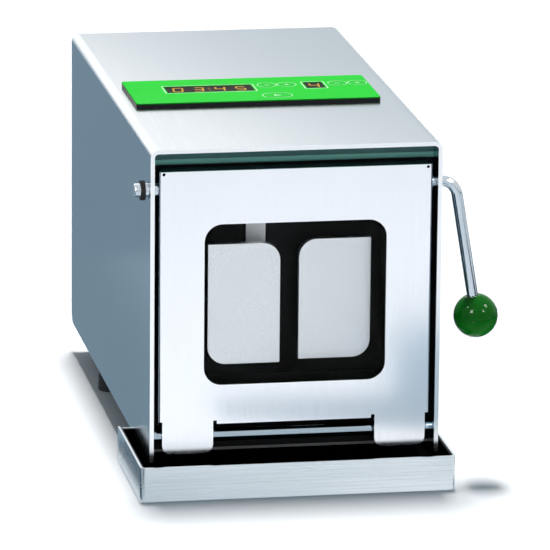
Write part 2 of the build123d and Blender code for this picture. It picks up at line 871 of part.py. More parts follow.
def latch_blades():
    """Flats between the lengths of the cross shaft: they pass the jaws' lips only when turned level."""
    slab = Rot(0, 0, blade_tilt) * Rectangle(4 * shaft_radius, blade_thickness)
    half = blade_length / 2
    flat = Circle(shaft_radius) & slab
    return pair(sideways(flat, latch_x - half, latch_x + half, lever_axis_y, lever_axis_z))


def lever_path():
    """Middle line of the rod: across, round one bend, then down with a slight outward lean."""
    start = shaft_socket
    lean = math.radians(lever_lean)
    bend_x = half_width + 1
    turn = math.pi / 2 - lean
    bend_end = (bend_x + lever_bend * math.sin(turn), lever_axis_z - lever_bend * (1 - math.cos(turn)))
    middle_turn = turn / 2
    middle = (bend_x + lever_bend * math.sin(middle_turn),
              lever_axis_z - lever_bend * (1 - math.cos(middle_turn)))
    fall = bend_end[1] - knob_centre_z
    end = (bend_end[0] + fall * math.tan(lean), knob_centre_z)
    return start, bend_x, middle, bend_end, end


def knob_centre():
    end = lever_path()[4]
    return end[0], knob_centre_z


def lever_rod():
    start, bend_x, middle, bend_end, end = lever_path()
    y = lever_axis_y
    first = Line((start, y, lever_axis_z), (bend_x, y, lever_axis_z))
    bend = ThreePointArc((bend_x, y, lever_axis_z), (middle[0], y, middle[1]), (bend_end[0], y, bend_end[1]))
    last = Line((bend_end[0], y, bend_end[1]), (end[0], y, end[1]))
    path = Wire([first, bend, last])
    section = Plane(origin=(start, y, lever_axis_z), z_dir=(1, 0, 0)) * Circle(lever_rod_radius)
    return sweep(section, path)


def lever_knob():
    """Ball with a flat where the rod enters and a fine parting groove round its middle."""
    x, z = knob_centre()
    ball = Sphere(knob_radius)
    flat_z = math.sqrt(knob_radius ** 2 - knob_flat ** 2)
    ball -= Pos(0, 0, flat_z + knob_radius) * Box(4 * knob_radius, 4 * knob_radius, 2 * knob_radius)
    groove = Cylinder(knob_radius + 1, knob_parting) - Cylinder(knob_radius - knob_parting, 2 * knob_parting)
    ball -= groove
    ball -= Pos(0, 0, knob_radius) * Cylinder(lever_rod_radius, 2 * knob_radius)
    return Pos(x, lever_axis_y, z) * Rot(0, -lever_lean, 0) * ball


def retaining_ring():
    x1 = -half_width - ring_offset
    ring = across(ring_radius, x1 - ring_width, x1, lever_axis_y, lever_axis_z)
    return ring - across(shaft_radius, x1 - ring_width - 1, x1 + 1, lever_axis_y, lever_axis_z)


# ---------------------------------------------------------------- tray

def rounded_tub(half, y0, y1, z0, z1, rear_z, wall, floor, corner):
    """Open tray with round upright corners and a lower rear wall."""
    outer = block(-half, half, y0, y1, z0, z1)
    outer = fillet(outer.edges().filter_by(Axis.Z), corner)
    inner = block(-half + wall, half - wall, y0 + wall, y1 - wall, z0 + floor, z1 + 1)
    inner = fillet(inner.edges().filter_by(Axis.Z), max(corner - wall, 0.5))
    tub = outer - inner
    return tub - block(-half - 1, half + 1, y1 - corner, y1 + 1, rear_z, z1 + 1)


def tray_skirt():
    return rounded_tub(tray_half, -tray_front, tray_back, 0, tray_height, tray_rear_height,
                       tray_sheet, tray_sheet, tray_corner)


def tray_liner():
    return rounded_tub(tray_half - tray_sheet, tray_sheet - tray_front, tray_back - tray_sheet, tray_sheet,
                       tray_height - liner_drop, tray_rear_height - liner_drop,
                       liner_wall, liner_wall, tray_corner - tray_sheet)


# ---------------------------------------------------------------- control panel

def display_sites():
    """Width, depth, X and Y of the two display windows."""
    time_site = (time_window_width, time_window_depth, time_window_x, time_window_y)
    speed_site = (speed_window_width, speed_window_depth, speed_window_x, speed_window_y)
    return time_site, speed_site


def display_cuts(z0, z1):
    cuts = []
    for width, depth, x, y in display_sites():
        cuts.append(block(x - width / 2, x + width / 2, y - depth / 2, y + depth / 2, z0, z1))
    return cuts


def key_sites():
    """Name, half length between the round ends, X and Y of each key."""
    return (
        ("time_key_less", 0.0, time_key_x, key_rear_y),
        ("time_key_more", 0.0, time_key_x + key_pitch, key_rear_y),
        ("speed_key_less", 0.0, speed_key_x, key_rear_y),
        ("speed_key_more", 0.0, speed_key_x + key_pitch, key_rear_y),
        ("start_key", key_length / 2 - key_radius, start_key_x, key_front_y),
    )


def key_outline(half_run, grow):
    radius = key_radius + grow
    if half_run > 0:
        return SlotCenterToCenter(2 * half_run, 2 * radius)
    return Circle(radius)


def key_cap(half_run, x, y):
    """Raised cap of the printed film, with a dished top."""
    low = overlay_bottom - key_play / 2
    cap = lying(key_outline(half_run, 0), x, y, low, panel_top + key_proud)
    dish = lying(key_outline(half_run, -key_rim), x, y, panel_top, panel_top + 1)
    return cap - dish


def panel_plate():
    outline = RectangleRounded(panel_width, panel_depth, panel_corner)
    plate = lying(outline, panel_centre_x, panel_centre_y, roof_height, overlay_bottom)
    for cut in display_cuts(roof_height - 1, panel_top):
        plate -= cut
    floor = overlay_bottom - key_play - key_travel
    for _, half_run, x, y in key_sites():
        plate -= lying(key_outline(half_run, key_play), x, y, floor, panel_top)
    return plate


def panel_overlay():
    outline = RectangleRounded(panel_width, panel_depth, panel_corner)
    film = lying(outline, panel_centre_x, panel_centre_y, overlay_bottom, panel_top)
    for cut in display_cuts(overlay_bottom - 1, panel_top + 1):
        film -= cut
    for _, half_run, x, y in key_sites():
        film -= lying(key_outline(half_run, key_play), x, y, overlay_bottom - 1, panel_top + 1)
    return film


def display_module(width, depth, x, y):
    half_x = width / 2 - display_play
    half_y = depth / 2 - display_play
    board_top = roof_under - board_drop
    return block(x - half_x, x + half_x, y - half_y, y + half_y, board_top, panel_top - display_sink)


def display_board():
    """Circuit board hung from the roof on four spacers."""
    board_top = roof_under - board_drop
    half_x = panel_width / 2 - board_margin
    half_y = panel_depth / 2 - board_margin
    board = block(panel_centre_x - half_x, panel_centre_x + half_x, panel_centre_y - half_y,
                  panel_centre_y + half_y, board_top - board_thickness, board_top)
    inset = 2 * board_spacer_radius
    for side in (-1, 1):
        for end in (-1, 1):
            x = panel_centre_x + side * (half_x - inset)
            y = panel_centre_y + end * (half_y - inset)
            board += upright(board_spacer_radius, x, y, board_top, roof_under)
    return board


# ---------------------------------------------------------------- rear, feet, electrics

def screw_sites():
    """Places of the rear panel's screws, down both sides."""
    x = inner_half - rear_screw_inset
    low = base_top + 2 * rear_screw_inset
    high = roof_under - 2 * rear_screw_inset
    return [(side * x, low + step * (high - low) / 2) for side in (-1, 1) for step in range(3)]


def rear_panel():
    plate = block(-inner_half, inner_half, rear_inner, rear_outer, base_top, roof_under)
    top = plate.edges().filter_by(Axis.Y).group_by(Axis.Z)[-1]
    plate = fillet(top, casing_bend - casing_sheet)
    slot = SlotOverall(vent_slot_length, vent_slot_width)
    for side in (-1, 1):
        for row in range(vent_rows):
            z = vent_z + row * vent_pitch
            plate -= facing(slot, side * vent_column, z, rear_inner - 1, rear_outer + 1)
    plate -= facing(Rectangle(inlet_body_width, inlet_body_height), inlet_x, inlet_z,
                    rear_inner - 1, rear_outer + 1)
    body_width = rocker_width + 2 * display_play + 2 * switch_wall
    body_height = rocker_height + 2 * switch_wall + 2 * run_gap
    return plate - facing(Rectangle(body_width, body_height), switch_x, switch_z,
                          rear_inner - 1, rear_outer + 1)


def rear_screws():
    heads = []
    for x, z in screw_sites():
        head = deep(rear_screw_radius, x, rear_outer, rear_outer + rear_screw_height, z)
        heads.append(fillet(head.edges().group_by(Axis.Y)[-1], rear_screw_height / 2))
    return group(*heads)


def power_inlet():
    """Appliance inlet: flange outside, shrouded socket with three flat pins."""
    flange = RectangleRounded(inlet_flange_width, inlet_flange_height, 2 * inlet_flange)
    body = facing(flange, inlet_x, inlet_z, rear_outer, rear_outer + inlet_flange)
    body += facing(Rectangle(inlet_body_width, inlet_body_height), inlet_x, inlet_z,
                   rear_outer - inlet_body_depth, rear_outer)
    mouth = rear_outer + inlet_flange
    floor = mouth - inlet_socket_depth
    socket = RectangleRounded(inlet_socket_width, inlet_socket_height, 2 * inlet_pin_width)
    body -= facing(socket, inlet_x, inlet_z, floor, mouth + 1)
    for step in (-1, 0, 1):
        rise = inlet_earth_rise if step == 0 else 0
        pin = Rectangle(inlet_pin_width, inlet_pin_height)
        body += facing(pin, inlet_x + step * inlet_pin_pitch, inlet_z + rise, floor, mouth - inlet_flange)
    return body


def switch_housing():
    body_width = rocker_width + 2 * display_play + 2 * switch_wall
    body_height = rocker_height + 2 * switch_wall + 2 * run_gap
    frame = RectangleRounded(switch_frame_width + 2 * switch_wall, switch_frame_height, switch_wall)
    body = facing(frame, switch_x, switch_z, rear_outer, rear_outer + switch_frame)
    body += facing(Rectangle(body_width, body_height), switch_x, switch_z,
                   rear_outer - switch_body_depth, rear_outer)
    well = Rectangle(rocker_width + 2 * display_play, rocker_height + 2 * run_gap)
    floor = rear_outer + switch_frame - 2 * rocker_depth + run_gap
    body -= facing(well, switch_x, switch_z, floor, rear_outer + switch_frame + 1)
    pin_y_place = rear_outer + switch_frame - rocker_crown
    bore = rocker_pin_radius + running_fit
    half = body_width / 2
    return body - across(bore, switch_x - half, switch_x + half, pin_y_place, switch_z)


def power_rocker():
    """Rocker with a shallow V face on two round trunnions, resting on its lower half."""
    pivot_y = rear_outer + switch_frame - rocker_crown
    half = rocker_height / 2
    face = [(0.0, half), (rocker_crown, half), (rocker_valley, 0), (rocker_crown, -half), (0.0, -half),
            (-rocker_depth, -half / 3), (-rocker_depth, half / 3)]
    outline = Rot(0, 0, -rocker_tilt) * make_face(Polyline(*face, close=True))
    half_width_x = rocker_width / 2
    body = sideways(outline, switch_x - half_width_x, switch_x + half_width_x, pivot_y, switch_z)
    reach = half_width_x + rocker_pin_reach
    return body + across(rocker_pin_radius, switch_x - reach, switch_x + reach, pivot_y, switch_z)


def feet():
    """Four rubber feet, wider at the table."""
    pads = []
    for x, y in ((front_foot_x, front_foot_y), (rear_foot_x, rear_foot_y)):
        for side in (-1, 1):
            pad = Cone(foot_radius, foot_radius - foot_taper, base_bottom)
            pads.append(Pos(side * x, y, base_bottom / 2) * pad)
    return group(*pads)


def power_board():
    """Supply board on pillars with a capacitor pair and a finned heat sink."""
    half_x = power_board_width / 2
    half_y = power_board_depth / 2
    low = base_top + power_board_rise
    top = low + board_thickness
    board = block(power_board_x - half_x, power_board_x + half_x, power_board_y - half_y,
                  power_board_y + half_y, low, top)
    inset = 2 * board_spacer_radius
    for side in (-1, 1):
        for end in (-1, 1):
            x = power_board_x + side * (half_x - inset)
            y = power_board_y + end * (half_y - inset)
            board += upright(board_spacer_radius, x, y, base_top, low)
        can_x = power_board_x - half_x / 2 + side * capacitor_pitch / 2
        board += upright(capacitor_radius, can_x, power_board_y, top, top + capacitor_height)
    fin_left = power_board_x + half_x / 6
    fin_step = half_x / 8
    fin_top = top + heatsink_height
    root = fin_left + (heatsink_fins - 1) * fin_step + board_thickness
    board += block(fin_left, root, power_board_y - half_y / 2, power_board_y + half_y / 2,
                   top, top + 2 * board_thickness)
    for fin in range(heatsink_fins):
        x = fin_left + fin * fin_step
        board += block(x, x + board_thickness, power_board_y - half_y / 2, power_board_y + half_y / 2,
                       top, fin_top)
    return board


def transformer():
    """Laminated core with its coil through the middle."""
    half_x = transformer_width / 2
    half_y = transformer_depth / 2
    core = block(transformer_x - half_x, transformer_x + half_x, transformer_y - core_depth / 2,
                 transformer_y + core_depth / 2, base_top, base_top + transformer_height)
    coil_half = coil_width / 2
    coil = block(transformer_x - coil_half, transformer_x + coil_half, transformer_y - half_y,
                 transformer_y + half_y, base_top + coil_rim, base_top + transformer_height - coil_rim)
    return core + fillet(coil.edges().filter_by(Axis.Z), coil_corner)


os.makedirs("parts", exist_ok=True)

save("casing", casing())
save("base_plate", base_plate())
save("front_bulkhead", front_bulkhead())
save("roof_seal", roof_seal())
save("hinge_rod", hinge_rod())
save("lever_bushes", lever_bushes())
save("chamber_tub", chamber_tub())
save("lip_seal", lip_seal())
save("bag_guide_strip", bag_guide_strip())
save("guide_block", guide_block())
save("paddle_bushes", paddle_bushes())
for side_name, side in (("left", -1), ("right", 1)):
    save(f"paddle_{side_name}", paddle(side))
    save(f"paddle_rod_{side_name}", paddle_rod(side))
    save(f"fork_{side_name}", fork(side))
    save(f"conrod_{side_name}", conrod(side))
save("crankshaft", crankshaft())
save("drive_plate_left", mirrored(drive_plate()))
save("drive_plate_right", drive_plate())
save("crank_bearings", crank_bearings())
save("crank_pulley", crank_pulley())
save("drive_belt", drive_belt())
save("motor_body", motor_body())
save("motor_cradle", motor_cradle())
save("motor_shaft", motor_shaft())
save("motor_pulley", motor_pulley())
save("door_front", door_front())
save("door_rails", door_rails())
save("window_gasket", window_gasket())
save("door_window", door_window())
save("window_clips", window_clips())
save("hinge_knuckles", hinge_knuckles())
save("lever_shaft", lever_shaft())
save("latch_blades", latch_blades())
save("lever_rod", lever_rod())
save("lever_knob", lever_knob())
save("retaining_ring", retaining_ring())
save("tray_skirt", tray_skirt())
save("tray_liner", tray_liner())
save("panel_plate", panel_plate())
save("panel_overlay", panel_overlay())
save("display_board", display_board())
for name, site in zip(("time_display", "speed_display"), display_sites()):
    save(name, display_module(*site))
for name, half_run, x, y in key_sites():
    save(name, key_cap(half_run, x, y))
save("rear_panel", rear_panel())
save("rear_screws", rear_screws())
save("power_inlet", power_inlet())
save("switch_housing", switch_housing())
save("power_rocker", power_rocker())
save("feet", feet())
save("power_board", power_board())
save("transformer", transformer())
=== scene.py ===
import bmesh
import bpy
import json
import math
import numpy as np
from mathutils import Matrix, Vector


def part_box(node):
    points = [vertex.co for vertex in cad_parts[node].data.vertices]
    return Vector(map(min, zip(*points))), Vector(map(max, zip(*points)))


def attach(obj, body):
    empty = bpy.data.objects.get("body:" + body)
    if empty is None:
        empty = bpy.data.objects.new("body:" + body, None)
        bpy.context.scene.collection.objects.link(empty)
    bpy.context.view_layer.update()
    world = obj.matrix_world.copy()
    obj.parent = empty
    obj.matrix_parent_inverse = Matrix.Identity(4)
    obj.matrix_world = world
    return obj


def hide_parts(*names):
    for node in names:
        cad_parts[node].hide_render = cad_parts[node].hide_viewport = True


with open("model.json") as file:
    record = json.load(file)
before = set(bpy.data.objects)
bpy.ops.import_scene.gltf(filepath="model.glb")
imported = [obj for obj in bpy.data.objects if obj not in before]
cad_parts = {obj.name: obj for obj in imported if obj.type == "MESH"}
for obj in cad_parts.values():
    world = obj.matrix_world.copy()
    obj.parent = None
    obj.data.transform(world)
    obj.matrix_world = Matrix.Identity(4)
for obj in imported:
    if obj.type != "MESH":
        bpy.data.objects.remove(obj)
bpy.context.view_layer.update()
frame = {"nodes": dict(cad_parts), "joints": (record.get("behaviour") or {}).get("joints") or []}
mm = 0.001

# ---------------------------------------------------------------- folded casing
# One stainless sheet, satin rolled, folded into the roof and both sides, with a painted
# highlight along its cut front edge.  It closes round the base plate and the rear panel.


def linear(code):
    """Linear light of an sRGB hex colour: each channel put through the sRGB curve backwards."""
    channels = [int(code[i:i + 2], 16) / 255 for i in (0, 2, 4)]
    return [c / 12.92 if c <= 0.04045 else ((c + 0.055) / 1.055) ** 2.4 for c in channels] + [1.0]


def add(tree, kind, options=None, values=None, wires=None):
    """Add one node with its options, the values of its inputs and the sockets wired to it."""
    node = tree.nodes.new(kind)
    for key, value in (options or {}).items():
        setattr(node, key, value)
    for key, value in (values or {}).items():
        node.inputs[key].default_value = value
    for key, socket in (wires or {}).items():
        tree.links.new(socket, node.inputs[key])
    return node


def grained(name, light, dark, grain, gloss, lift, metallic=0.0, patch=70.0, **even):
    """A finish whose tone and gloss follow cells of a real size.

    grain is a cell's length in mm along X, Y and Z, gloss the least and most roughness,
    lift how far in mm the cells stand proud, and patch the size in mm of the slow cloudy
    change that rolling, moulding and handling leave.  even holds shader values that stay
    the same all over.
    """
    material = bpy.data.materials.new(name)
    material.use_nodes = True
    tree = material.node_tree
    shader = tree.nodes["Principled BSDF"]
    shader.inputs["Metallic"].default_value = metallic
    for socket, value in even.items():
        shader.inputs[socket.replace("_", " ")].default_value = value
    place = add(tree, "ShaderNodeTexCoord").outputs["Object"]
    cell = add(tree, "ShaderNodeMapping", values={"Scale": [1 / (mm * g) for g in grain]},
               wires={"Vector": place})
    fine = add(tree, "ShaderNodeTexNoise", values={"Scale": 1.0, "Detail": 3.0},
               wires={"Vector": cell.outputs[0]})
    cloud = add(tree, "ShaderNodeTexNoise", values={"Scale": 1 / (mm * patch), "Detail": 2.0},
                wires={"Vector": place})
    # The cells and half of the cloud add up to between 0.5 and 1 nearly everywhere.
    both = add(tree, "ShaderNodeMath", {"operation": "MULTIPLY_ADD"}, {1: 0.5},
               {0: cloud.outputs[0], 2: fine.outputs[0]})
    share = add(tree, "ShaderNodeMapRange",
                values={"From Min": 0.5, "From Max": 1.0, "To Min": 0.0, "To Max": 1.0},
                wires={"Value": both.outputs[0]})
    rough = add(tree, "ShaderNodeMapRange", values={"To Min": gloss[0], "To Max": gloss[1]},
                wires={"Value": share.outputs[0]})
    tone = add(tree, "ShaderNodeMix", {"data_type": "RGBA"}, {6: linear(light), 7: linear(dark)},
               {0: share.outputs[0]})
    bump = add(tree, "ShaderNodeBump", values={"Strength": 1.0, "Distance": lift * mm},
               wires={"Height": fine.outputs[0]})
    tree.links.new(tone.outputs[2], shader.inputs["Base Color"])
    tree.links.new(rough.outputs[0], shader.inputs["Roughness"])
    tree.links.new(bump.outputs[0], shader.inputs["Normal"])
    return material


def where_less(material, axis, limit, colour):
    """Give a finish another colour below a place in mm along one axis, such as a painted highlight along a
    cut edge.
    """
    tree = material.node_tree
    shader = tree.nodes["Principled BSDF"]
    before = shader.inputs["Base Color"].links[0].from_socket
    place = add(tree, "ShaderNodeTexCoord").outputs["Object"]
    parts = add(tree, "ShaderNodeSeparateXYZ", wires={0: place})
    below = add(tree, "ShaderNodeMath", {"operation": "LESS_THAN"}, {1: limit * mm},
                {0: parts.outputs[axis]})
    mixed = add(tree, "ShaderNodeMix", {"data_type": "RGBA"}, {7: linear(colour)},
                {0: below.outputs[0], 6: before})
    tree.links.new(mixed.outputs[2], shader.inputs["Base Color"])


def dress(material, *names):
    """Give CAD nodes a finish; their solids stay as they are."""
    for name in names:
        for place in frame["nodes"][name].material_slots:
            place.material = material


# Satin rolled stainless reads blue-grey where it mirrors the floor, and near white in the
# roof.  The rolling lines are 0.1 mm wide on the real sheet, drawn 0.7 mm wide to show.
rolled_steel = grained("satin_rolled_steel", "A4B3BE", "9FAEBA", (0.7, 60, 0.7), (0.15, 0.21),
                       0.0004, metallic=1.0, patch=160)
# The cut edge faces forward at Y = 0; a near white painted highlight, for the light the edge catches,
# reaches 0.2 mm round it.
edge_highlight_depth = 0.2
where_less(rolled_steel, "Y", edge_highlight_depth, "F2F4F6")
dress(rolled_steel, "casing")

# ---------------------------------------------------------------- base, rear and bulkhead
# Zinc coated steel sheets: the base plate with its vents, and the rear panel with its
# slots.  The bulkhead round the chamber is steel sheet too, powder coated black.

# The zinc has frozen in spangles of about 5 mm, each a slightly different grey.
spangle_size = 5.0
zinc = grained("zinc_plated_sheet", "A2A6AA", "92969B", (0.9, 0.9, 0.9), (0.34, 0.5), 0.002,
               metallic=1.0)
zinc_tree = zinc.node_tree
zinc_shader = zinc_tree.nodes["Principled BSDF"]
zinc_tone = zinc_shader.inputs["Base Color"].links[0].from_socket
zinc_place = add(zinc_tree, "ShaderNodeTexCoord").outputs["Object"]
spangle = add(zinc_tree, "ShaderNodeTexVoronoi", values={"Scale": 1 / (spangle_size * mm)},
              wires={"Vector": zinc_place})
spangle_grey = add(zinc_tree, "ShaderNodeMapRange", values={"To Min": 0.82, "To Max": 1.0},
                   wires={"Value": spangle.outputs["Color"]})
spangled = add(zinc_tree, "ShaderNodeMix", {"data_type": "RGBA", "blend_type": "MULTIPLY"},
               {0: 1.0}, {6: zinc_tone, 7: spangle_grey.outputs[0]})
zinc_tree.links.new(spangled.outputs[2], zinc_shader.inputs["Base Color"])
dress(zinc, "base_plate", "rear_panel", "motor_cradle", "window_clips")

# Powder coat has orange peel of about 1 mm and a low even gloss.
powder_coat = grained("black_powder_coat", "0C0D10", "090A0C", (1.1, 1.1, 1.1), (0.42, 0.55), 0.012,
                      Specular_IOR_Level=0.25)
dress(powder_coat, "front_bulkhead")

# ---------------------------------------------------------------- mixing chamber
# A deep drawn tub, near black, with a lip seal that the door's pane closes against.
# A moulded teal seal is glued up under the roof, behind the door's top.

# The tub's finish is near black and glassy, with a waviness of about 5 mm; inside the chamber it shows as
# black.
enamel = grained("near_black_tub_finish", "060607", "030304", (5, 5, 5), (0.3, 0.4), 0.004,
                 Specular_IOR_Level=0.12)
dress(enamel, "chamber_tub")

# Moulded rubber has a dull skin with flow marks under 1 mm wide.
black_rubber = grained("black_rubber", "141414", "0C0C0D", (0.8, 0.8, 0.8), (0.6, 0.78), 0.006)
dress(black_rubber, "lip_seal", "window_gasket")


def measured(node):
    """Lowest and highest corner of a CAD node, in mm."""
    return [np.array(corner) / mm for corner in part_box(node)]


# Silicone has the same dull skin, its flow marks drawn out along the seal.  The seal's
# upper 8.3 mm is a darker teal, painted shade of the roof's front edge; the bead below it is a light teal,
# lifted to make up for the shade in the gap.
teal_silicone = grained("teal_silicone", "43807A", "3D7870", (9, 0.9, 0.9), (0.42, 0.56), 0.008)
seal_top, roof_shade_height = measured("roof_seal")[1][2], 8.3
where_less(teal_silicone, "Z", seal_top - roof_shade_height, "A0F2DE")
dress(teal_silicone, "roof_seal")

# ---------------------------------------------------------------- paddles and bag strip
# Stainless plates that press the bag against the window, bead blasted to an even matt grey
# and screwed to their rods from behind.  A bent spring strip hangs above the left one.

# Bead blasting leaves 0.1 mm dimples, drawn 0.6 mm wide, and no direction.
blasted_steel = grained("bead_blasted_steel", "F6F9FB", "F0F5F9", (0.6, 0.6, 0.6), (0.26, 0.34), 0.001,
                        metallic=1.0)
dress(blasted_steel, "paddle_left", "paddle_right")
# The strip is spring steel, tumbled to a duller matt than the paddles.
tumbled_strip = grained("tumbled_strip", "FAFCFE", "F4F8FB", (0.7, 0.7, 30), (0.46, 0.54), 0.0005,
                        metallic=1.0)
dress(tumbled_strip, "bag_guide_strip")

# ---------------------------------------------------------------- paddle drive
# Ground shafts and eccentrics in machined alloy plates, rods and forks, with oil bronze
# bushes, and the belt and motor that turn them.  It shows only with the casing off.

# Turned and ground steel: rings of 0.2 mm round X, drawn 0.8 mm wide.
turned_steel = grained("turned_steel", "C4C8CD", "B2B7BD", (0.8, 14, 14), (0.16, 0.26), 0.001,
                       metallic=1.0)
dress(turned_steel, "paddle_rod_left", "paddle_rod_right", "crankshaft", "crank_bearings",
      "motor_shaft", "latch_blades")
# Machined alloy keeps the cutter's 0.8 mm lines.
alloy = grained("machined_alloy", "C3C6C8", "B0B4B7", (8, 0.8, 8), (0.3, 0.44), 0.003, metallic=1.0)
dress(alloy, "guide_block", "fork_left", "fork_right", "conrod_left", "conrod_right",
      "drive_plate_left", "drive_plate_right", "crank_pulley", "motor_pulley", "hinge_knuckles")
# Sintered bronze is grainy and holds oil in its pores.
bronze = grained("oiled_bronze", "B98A4E", "8E6836", (0.7, 0.7, 0.7), (0.32, 0.5), 0.004,
                 metallic=1.0)
dress(bronze, "paddle_bushes")
# The belt's cover is woven, with threads of 0.8 mm.
belt_cover = grained("woven_belt", "1C1C1D", "0E0E0F", (0.8, 4, 0.8), (0.62, 0.8), 0.05)
dress(belt_cover, "drive_belt")
# Stoved paint over a cast shell, with orange peel of about 1.4 mm.
motor_paint = grained("grey_motor_paint", "494F57", "3D434A", (1.4, 1.4, 1.4), (0.36, 0.5), 0.015)
dress(motor_paint, "motor_body")

# ---------------------------------------------------------------- boards and transformer
# A supply board, the board under the panel, and a laminated transformer: printed boards of
# glass fibre, and steel sheets stacked and varnished.

# Green solder mask is glassy, and lumpy by about 1.5 mm over the tracks.
circuit_board = grained("solder_mask_board", "1F6B3A", "174F2B", (1.5, 1.5, 1.5), (0.24, 0.38), 0.01)
dress(circuit_board, "power_board", "display_board")
# Laminations are 0.5 mm thick, stacked along Y under varnish, and drawn 0.8 mm thick.
laminations = grained("varnished_laminations", "5C4A3A", "38291E", (12, 0.8, 12), (0.36, 0.5), 0.05)
dress(laminations, "transformer")

# ---------------------------------------------------------------- door
# A stainless sheet, fine brushed upright, hung on the rod below by two tabs, with rails
# behind its sides.  The clear pane is clipped behind its window over a rubber gasket.

# Brushing lines are 0.1 mm wide, drawn 0.6 mm wide; the sheet mirrors the pale floor.
brushed_steel = grained("fine_brushed_steel", "F3F5F9", "EFF1F6", (0.6, 0.6, 45), (0.13, 0.19), 0.0004,
                        metallic=1.0, patch=110)
dress(brushed_steel, "door_front")
# The rails are made black as painted shade, so that the gap over the door stays dark.
gap_shade_black = grained("gap_painted_shade_black", "1A1B1E", "121316", (0.9, 0.9, 0.9), (0.4, 0.52), 0.002,
                     metallic=1.0)
dress(gap_shade_black, "door_rails")

# Cast acrylic: clear, faintly green, and it only adds a weak gloss to what is behind it.
acrylic = grained("clear_acrylic", "0E1413", "0C1211", (30, 30, 30), (0.02, 0.05), 0.0004,
                  Alpha=0.06, IOR=1.49)
dress(acrylic, "door_window")

# ---------------------------------------------------------------- hinge rod and cross shaft
# Round steel bar: the rod that the door's tabs turn on, and the lever's cross shaft in
# acetal bushes, whose left end stands out through the casing with a rubber ring on it.


def skin(name, grids, material, body, replaced=(), crease=30, flat=False):
    """Make one piece from grids of points in mm, rows x columns x 3.

    Quads join neighbouring points.  Points closer than a micron merge, which closes the
    seam where a grid's last column meets its first, and the poles.  Edges past crease, in
    degrees, stay sharp, and a flat piece keeps the side that its points are laid out on.
    """
    points, faces, start = [], [], 0
    for grid in grids:
        rows, columns = grid.shape[:2]
        corner = start + np.arange(rows * columns).reshape(rows, columns)
        quads = [corner[:-1, :-1], corner[:-1, 1:], corner[1:, 1:], corner[1:, :-1]]
        faces.append(np.stack(quads, axis=-1).reshape(-1, 4))
        points.append(grid.reshape(-1, 3) * mm)
        start += rows * columns
    mesh = bpy.data.meshes.new(name)
    mesh.from_pydata(np.concatenate(points).tolist(), [], np.concatenate(faces).tolist())
    work = bmesh.new()
    work.from_mesh(mesh)
    bmesh.ops.remove_doubles(work, verts=work.verts, dist=1e-6)
    bmesh.ops.dissolve_degenerate(work, edges=work.edges, dist=1e-7)
    if not flat:
        bmesh.ops.recalc_face_normals(work, faces=work.faces)
    work.to_mesh(mesh)
    work.free()
    mesh.shade_smooth()
    mesh.set_sharp_from_angle(angle=math.radians(crease))
    mesh.materials.append(material)
    piece = bpy.data.objects.new(name, mesh)
    bpy.context.scene.collection.objects.link(piece)
    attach(piece, body)
    if replaced:
        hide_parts(*replaced)


def lathe(profile, origin, axis, around=96):
    """Carry a profile round a line.

    A point at s along the line and radius r lies at origin + s * axis + r * (side * cos t
    + up * sin t), with t going once round.
    """
    s, r = np.asarray(profile, float).T
    axis = np.asarray(axis, float) / np.linalg.norm(axis)
    side = np.cross(axis, (0.0, 0.0, 1.0) if abs(axis[2]) < 0.7 else (1.0, 0.0, 0.0))
    side /= np.linalg.norm(side)
    up = np.cross(axis, side)
    t = np.linspace(0, 2 * np.pi, around + 1)
    ring = np.cos(t)[:, None] * side + np.sin(t)[:, None] * up
    return np.asarray(origin, float) + s[:, None, None] * axis + r[:, None, None] * ring


def bar(start, end, radius, edge):
    """Profile of a round bar from start to end.

    Its rims are quarter circles: at angle q the rim is edge * (1 - sin q) in from the end
    and edge * (1 - cos q) below the radius.
    """
    q = np.linspace(0, np.pi / 2, 6)
    inward = edge * (1 - np.sin(q))
    height = radius - edge * (1 - np.cos(q))
    rise = np.stack([start + inward, height], axis=1)[::-1]
    fall = np.stack([end - inward, height], axis=1)
    return np.concatenate([[(start, 0.0)], rise, fall, [(end, 0.0)]])


# Both bars lie along X, on the axes of the door's hinge and of the lever.
joint_places = {joint["name"]: np.array(joint["pos_m"]) / mm
                for joint in frame["joints"] if "pos_m" in joint}
along_x = (1.0, 0.0, 0.0)

# Polished bar mirrors its surroundings, with polishing rings of 0.1 mm drawn 0.7 mm wide.
polished_steel = grained("polished_bar", "C6D0D8", "BAC5CE", (0.7, 10, 10), (0.08, 0.13), 0.0003,
                         metallic=1.0)
# The hinge rod is ground, not polished: bluer and a little darker.
ground_steel = grained("ground_bar", "A6B7C3", "9BADB9", (0.7, 10, 10), (0.1, 0.16), 0.0005,
                       metallic=1.0)
rod_low, rod_high = measured("hinge_rod")
hinge_radius, hinge_rim = (rod_high[2] - rod_low[2]) / 2, 0.4
hinge_bar = bar(rod_low[0], rod_high[0], hinge_radius, hinge_rim)
skin("hinge_rod_bar", [lathe(hinge_bar, joint_places["door_hinge"], along_x)], ground_steel, "root",
     ["hinge_rod"])

# The cross shaft is round outside and between the two latch blades, which are milled flat.
lever_axis = joint_places["lever_turn"]
shaft_low, shaft_high = measured("lever_shaft")
shaft_radius, stub_rim, inner_rim = (shaft_high[2] - shaft_low[2]) / 2, 0.8, 0.2
blade_outer, blade_width = measured("latch_blades")[1][0], 5.5
blade_inner = blade_outer - blade_width
stretches = [(shaft_low[0], -blade_outer, stub_rim), (-blade_inner, blade_inner, inner_rim),
             (blade_outer, shaft_high[0], inner_rim)]
skin("cross_shaft_bar",
     [lathe(bar(start, end, shaft_radius, rim), lever_axis, along_x) for start, end, rim in stretches],
     polished_steel, "lever", ["lever_shaft"])

